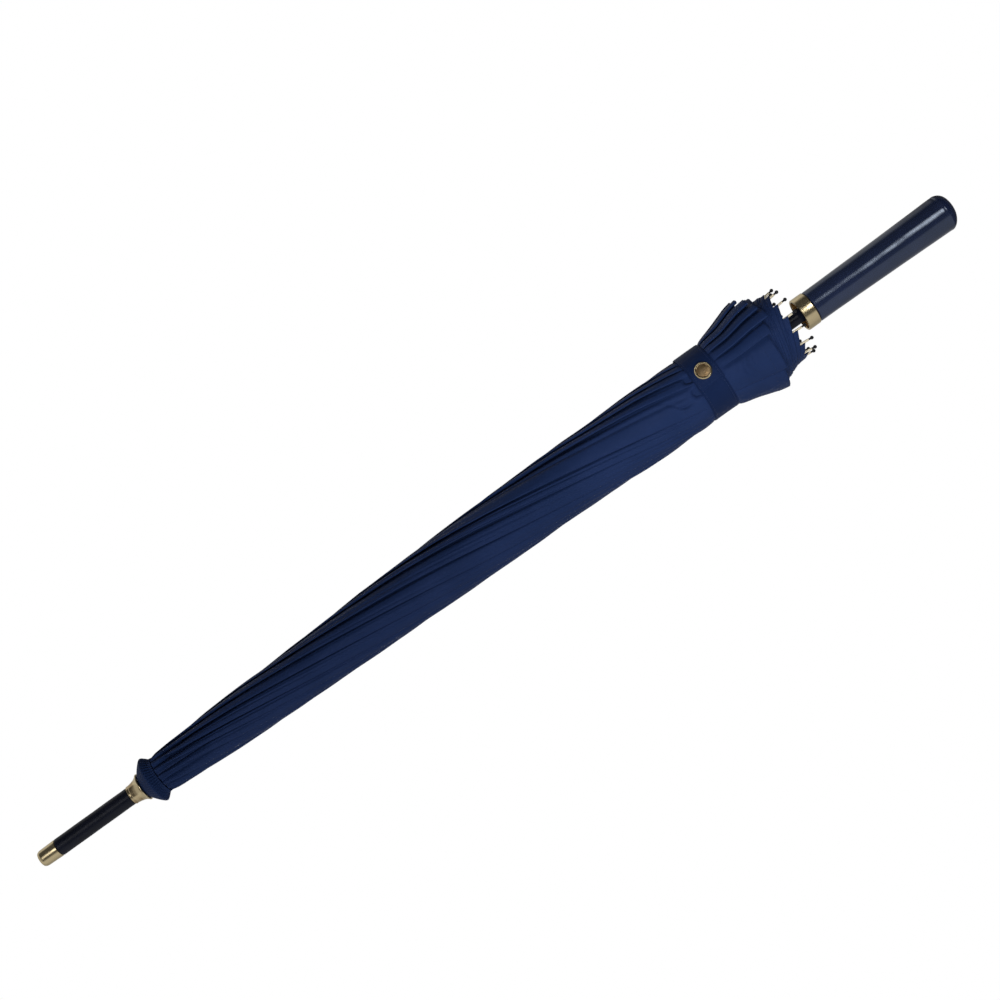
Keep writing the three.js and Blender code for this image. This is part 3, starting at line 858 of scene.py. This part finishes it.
def rosette():
    """Round of canopy cloth gathered into fine pleats between the crown and the top cap."""
    knots = np.array([(9.6, 813.2), (11.2, 812.5), (13.4, 811.0), (15.4, 809.3), (17.1, 807.8),
                      (18.7, 806.2), (19.9, 804.9), (20.5, 804.0), (20.5, 803.3), (19.9, 802.4),
                      (18.9, 801.3), (17.8, 800.0), (16.6, 798.9), (16.0, 797.6), (15.9, 796.1)])
    t = np.linspace(0, 1, 56)
    at = np.linspace(0, 1, len(knots))
    fine = np.stack([np.interp(t, at, knots[:, 0]), np.interp(t, at, knots[:, 1])], 1)

    def pleated(r, a, z):
        """The outline's radius less the pleats' depth."""
        row = t[:, None]
        depth = 0.34 * smoothstep(row, 0.02, 0.25) * (1 - 0.75 * bump(row, 0.53, 0.09))
        depth = depth + 0.25 * smoothstep(row, 0.6, 0.75)
        phase = PLEATS * a + 0.5 * np.sin(3 * a) + 0.4 * np.sin(5 * a + 1)
        wave = 1 - np.abs(np.sin(phase / 2)) ** 0.8
        return r - depth * wave * 1.6 + 0.12 * np.sin(2 * a + 0.6) * row

    obj = turned("rosette_cloth", fine, [CLOTH], sides=PLEATS * 12, shape=pleated)
    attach(obj, "frame")
    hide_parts("rosette")


rosette()


# ---- strap and snap ----
# stitches of the strap: distance from its edges, length, and distance from one to the next
STITCH_INSET = 1.9
STITCH_LENGTH = 2.2
STITCH_PITCH = 2.9


def strap_point(beta, across, out):
    """Point beta degrees along the strap, across its width and out from its inner face."""
    turns = beta / 360
    radius = STRAP_SNUG_R + STRAP_RISE * turns + out + 0.10 * np.sin(np.radians(beta * 5) + across / 6)
    angle = np.radians(STRAP_START - beta)
    z = STRAP_Z + across + 0.25 * np.sin(np.radians(beta * 2.3) + 1)
    return np.stack([radius * np.cos(angle), radius * np.sin(angle), z], -1)


def strap():
    """Band of doubled cloth with turned edges and a stitched, squared free end."""
    half = STRAP_WIDTH / 2
    edge = 0.36
    rim = [(-half, 0.4), (-half + 0.12, 0.12), (-half + edge, 0.0)]
    rim += [(x, 0.0) for x in np.linspace(-half + 1.2, half - 1.2, 9)]
    rim += [(half - edge, 0.0), (half - 0.12, 0.12), (half, 0.4), (half - 0.12, 0.68), (half - edge, 0.8)]
    rim += [(half - 1.4, 0.84), (half - 1.9, 0.70), (half - 2.4, 0.84)]
    rim += [(x, 0.84) for x in np.linspace(half - 4, -half + 4, 7)]
    rim += [(-half + 2.4, 0.84), (-half + 1.9, 0.70), (-half + 1.4, 0.84)]
    rim += [(-half + edge, 0.8), (-half + 0.12, 0.68)]
    rim = np.array(rim)
    beta = np.concatenate([[0, 0.3], np.linspace(1, STRAP_SWEEP - 1.2, 190),
                           [STRAP_SWEEP - 0.3, STRAP_SWEEP]])
    squeeze = np.concatenate([[0.3, 0.85], np.ones(190), [0.85, 0.3]])
    rows = []
    middle = 0.42  # of the thickness
    for b, q in zip(beta, squeeze):
        out = middle + (rim[:, 1] - middle) * q
        rows.append(strap_point(np.full(len(rim), b), rim[:, 0] * (1 - 0.012 * (1 - q)), out))
    points = np.array(rows)
    cols = len(rim)
    faces = grid_faces(len(beta), cols, wrap=True).tolist()
    faces.append(list(range(cols))[::-1])
    faces.append([(len(beta) - 1) * cols + c for c in range(cols)])
    along = np.radians(beta[:, None]) * 0.03
    uv = np.stack(np.broadcast_arrays(along, rim[None, :, 0] / 1000), -1).reshape(-1, 2)
    flat_points = points.reshape(-1, 3)
    share = np.repeat(np.minimum(beta / (2 * STRAP_OPENING), 1), cols)
    seam = strap_stitches(len(flat_points))
    all_points = np.concatenate([flat_points, seam[0]])
    all_share = np.concatenate([share, seam[1]])
    all_faces = faces + seam[2].tolist()
    slots = [0] * len(faces) + [1] * len(seam[2])
    all_uv = np.concatenate([uv, np.zeros((len(seam[0]), 2))])
    obj = make_object("strap_band", all_points, all_faces, [STRAP_CLOTH, THREAD], slots, all_uv)
    obj.data.set_sharp_from_angle(angle=math.radians(50))
    bend(obj, all_points, all_share)
    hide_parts("strap")


def strap_stitches(first):
    """Stitches along both edges of the strap and across its free end: points, shares and faces."""
    inset = STRAP_WIDTH / 2 - STITCH_INSET
    per_degree = math.radians(1) * (STRAP_R + 1.5)
    end = STRAP_SWEEP - STITCH_INSET / per_degree
    runs = [[(b, side * inset) for b in np.arange(8, end, 0.5)] for side in (-1, 1)]
    runs.append([(end, x) for x in np.linspace(-inset, inset, 80)])
    runs.append([(end - 3.5 / per_degree, x) for x in np.linspace(-inset, inset, 80)])
    points, shares, faces = [], [], []
    for run in runs:
        run = np.array(run)
        gaps = np.hypot(np.diff(run[:, 0]) * per_degree, np.diff(run[:, 1]))
        place = np.concatenate([[0], np.cumsum(gaps)])
        for start in np.arange(0, place[-1] - STITCH_LENGTH, STITCH_PITCH):
            d = start + np.array([0, 0.6, 1.6, STITCH_LENGTH])
            b = np.interp(d, place, run[:, 0])
            x = np.interp(d, place, run[:, 1])
            path = strap_point(b, x, np.array([0.70, 0.84, 0.84, 0.70]))
            ring, quads = tube(path, [0.06, 0.17, 0.17, 0.06], 5)
            faces.append(quads + first + sum(len(p) for p in points))
            points.append(ring)
            shares.append(np.repeat(np.minimum(b / (2 * STRAP_OPENING), 1), 5))
    return np.concatenate(points), np.concatenate(shares), np.concatenate(faces)


def snap():
    """Domed snap cap with a rolled rim, on the strap's free end."""
    outline = filleted([(0, -0.2, 0), (6.7, -0.2, 0), (7.35, 0.4, 0.4), (7.4, 1.0, 0.6), (6.5, 2.0, 0.7),
                        (5.7, 1.35, 0.35), (5.2, 1.35, 0.4), (3.0, 1.75, 1.5), (0, 1.85, 0)])
    # the dome's middle takes the brown painted reflection; the rolled rim stays gold
    slots = [1 if r < 5.9 and z > 0.5 else 0 for r, z in outline[:-1]]
    obj = turned("snap_dome", outline, [GOLD, SNAP_PAINTED_REFLECTION], 72, slots=slots)
    angle = math.radians(STRAP_START - STRAP_SWEEP + SNAP_BACK)
    seat = STRAP_SNUG_R + STRAP_RISE * (STRAP_SWEEP - SNAP_BACK) / 360 + STRAP_THICKNESS + 0.15
    obj.data.transform(Matrix.Rotation(angle, 4, "Z")
                       @ Matrix.Translation((seat / 1000, 0, STRAP_Z / 1000))
                       @ Matrix.Rotation(math.pi / 2, 4, "Y"))
    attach(obj, "strap")
    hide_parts("snap_cap")


strap()
snap()


# ---- handle ----
def handle_radius(z):
    """Radius of the grip at height z."""
    return HANDLE_R_TOP + (HANDLE_R_END - HANDLE_R_TOP) * (1 - z / HANDLE_LENGTH) ** 1.4


def handle():
    """Leather sewn over the core, with a butted seam at the back and a rounded end."""
    edge = HANDLE_EDGE_R
    centre = HANDLE_R_END - edge
    outline = [(r, 0.0) for r in np.linspace(0, centre, 8)[:-1]]
    outline += [(centre + edge * math.sin(t), edge - edge * math.cos(t))
                for t in np.linspace(0, math.pi / 2, 12)]
    outline += [(handle_radius(z), z) for z in np.linspace(edge + 1, HANDLE_LENGTH - 1.2, 110)]
    outline += [(HANDLE_R_TOP - 0.25, HANDLE_LENGTH - 0.5), (HANDLE_R_TOP - 0.9, HANDLE_LENGTH),
                (SHAFT_HOLE, HANDLE_LENGTH)]

    def uneven(r, a, z):
        """Hand-made unevenness, the seam, and the end that is rubbed rounder on one side."""
        side = smoothstep(r, 4, 10)
        waves = 0.03 * ripple(z / 28, a * 1.2, 3.1) + 0.06 * ripple(z / 70, a * 0.6, 1.1)
        seam_turn = (a - math.radians(SEAM_TURN) + np.pi) % (2 * np.pi) - np.pi
        seam = -0.30 * bump(seam_turn * r, 0, 0.28) + 0.12 * bump(np.abs(seam_turn * r), 0.9, 0.5)
        wall = smoothstep(z, 0.5, 9) * smoothstep(-z, -HANDLE_LENGTH, -HANDLE_LENGTH + 0.6)
        rounder = 0.24 * np.clip(1 - z / 8.6, 0, 1) ** 1.9 * (0.5 - 0.5 * np.cos(a)) ** 1.5
        slope = 0.02 * smoothstep(-z, -13, -5) * (0.5 + 0.5 * np.cos(a)) ** 2
        return (r + side * (waves + seam) * wall - 0.08 * wall * side) * (1 - rounder - slope)

    obj = turned("handle_leather_skin", outline, [LEATHER], 180, shape=uneven)
    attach(obj, "frame")
    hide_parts("handle_leather")


def collar():
    """Gold cup at the top of the handle, open towards the ribs' tips."""
    outline = filleted([(FIT_R, 140.3, 0), (14.0, 140.3, 0.5), (14.55, 141.0, 0.4),
                        (14.55, 151.3, 0.4), (14.2, 152, 0.3), (13.2, 152, 0.3), (12.7, 151.4, 0.3),
                        (12.4, 145.3, 0.8), (FIT_R, 145.3, 0)])
    # the cup's inside takes the brown-patched gold: painted shade in its hollow
    inside = [1 if r < 13.4 and z > 141 else 0 for r, z in outline]
    obj = turned("collar_cup", outline, [GOLD, PAINTED_DARK_GOLD], 120, slots=inside, closed=True)
    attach(obj, "frame")
    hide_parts("handle_collar")


def top_cap():
    """Gold trumpet cap over the rosette, with a painted brown reflection at its narrow end."""
    outline = filleted([(FIT_R, 826.1, 0), (8.15, 826.1, 0.25), (8.25, 824.6, 0.2),
                        (8.0, 824.2, 0.2), (8.3, 823.6, 0.3), (8.6, 821.5, 1.2), (9.5, 818.0, 2.0),
                        (11.0, 815.4, 1.2), (12.25, 814.3, 0.4), (12.2, 813.5, 0.3),
                        (11.6, 813.35, 0.2), (FIT_R, 813.35, 0)])
    # the narrow end takes the brown-patched gold: a painted reflection
    slots = [1 if z > 818.5 else 0 for _, z in outline]
    obj = turned("cap_trumpet", outline, [GOLD, PAINTED_DARK_GOLD], 96, slots=slots, closed=True)
    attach(obj, "frame")
    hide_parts("top_cap")


def ferrule():
    """Black tube and gold tip at the umbrella's upper end."""
    rings = [(7.58 + 0.03 * math.sin(0.21 * z), z, 0) for z in np.arange(830, 896, 3.0)]
    outline = filleted([(FIT_R, 826.4, 0), (7.3, 826.4, 0.2), (7.6, 826.9, 0.2)] + rings
                       + [(7.6, 898.5, 0.2), (7.3, 899.0, 0.2), (FIT_R, 899.0, 0)])
    obj = turned("ferrule_sleeve", outline, [BLACK_TUBE], 72, closed=True)
    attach(obj, "frame")
    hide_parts("ferrule_tube")
    outline = filleted([(0, 899.3, 0), (7.3, 899.3, 0.2), (7.6, 899.9, 0.3), (7.45, 905.0, 0),
                        (7.2, 914.6, 0.9), (6.1, 916.8, 0.8), (2, 917.0, 0), (0, 917.0, 0)])
    obj = turned("ferrule_cap", outline, [GOLD], 96)
    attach(obj, "frame")
    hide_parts("ferrule_tip")


handle()
collar()
top_cap()
ferrule()


# ---- rib tips ----
def tip_place(i):
    """Where the bent tip of rib i is, as a matrix."""
    return (Matrix.Rotation(math.radians(FIRST_RIB + i * PITCH), 4, "Z")
            @ Matrix.Translation((PIVOT_R / 1000, 0, CROWN_Z / 1000))
            @ Matrix.Rotation(-RIB_LEAN, 4, "Y")
            @ Matrix.Translation(((RIB_BACK - 1.7) / 1000, 0, -RIB_CHANNEL_END / 1000))
            @ Matrix.Rotation(-TIP_SPLAY, 4, "Y"))


def rib_tips():
    """Gold sleeve and dark ball on the end of each rib."""
    sleeve = filleted([(0.0, 5.2, 0), (1.2, 5.2, 0), (1.65, 4.9, 0.2), (1.75, 4.2, 0.2),
                       (1.45, 3.2, 0.4), (1.4, -4.0, 0.6), (1.1, -8.0, 0.8), (0.95, -18.6, 0.3),
                       (0.0, -18.8, 0)])
    ball = [(BALL_R * math.sin(t), BALL_R * math.cos(t) - TIP_LENGTH) for t in np.linspace(0, math.pi, 17)]
    pieces = (("tip_sleeve", sleeve, PALE_GOLD, "gold"), ("tip_ball", ball, RIB_BLACK, "rib_black"))
    for i in range(RIB_COUNT):
        for name, outline, finish, slot in pieces:
            obj = turned(f"{name}_{i + 1:02d}", outline, [finish], 24)
            obj.data.transform(tip_place(i))
            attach(obj, f"rib_{i + 1:02d}")


rib_tips()


# ---- CAD nodes that keep their shape ----
def finish_nodes():
    """Gives every CAD node that stays in view its material."""
    by_slot = {"shaft_black": BLACK_TUBE, "gold": GOLD, "spring_steel": STEEL, "rib_black": RIB_BLACK,
               "notch_plastic": PLASTIC, "beech": BEECH, "navy_leather": LEATHER, "canopy_cloth": CLOTH,
               "strap_cloth": STRAP_CLOTH}
    for part in frame["record"]["subparts"]:
        obj = frame["nodes"][part["node"]]
        obj.data.materials.clear()
        obj.data.materials.append(by_slot[part["material_slot"]])


finish_nodes()
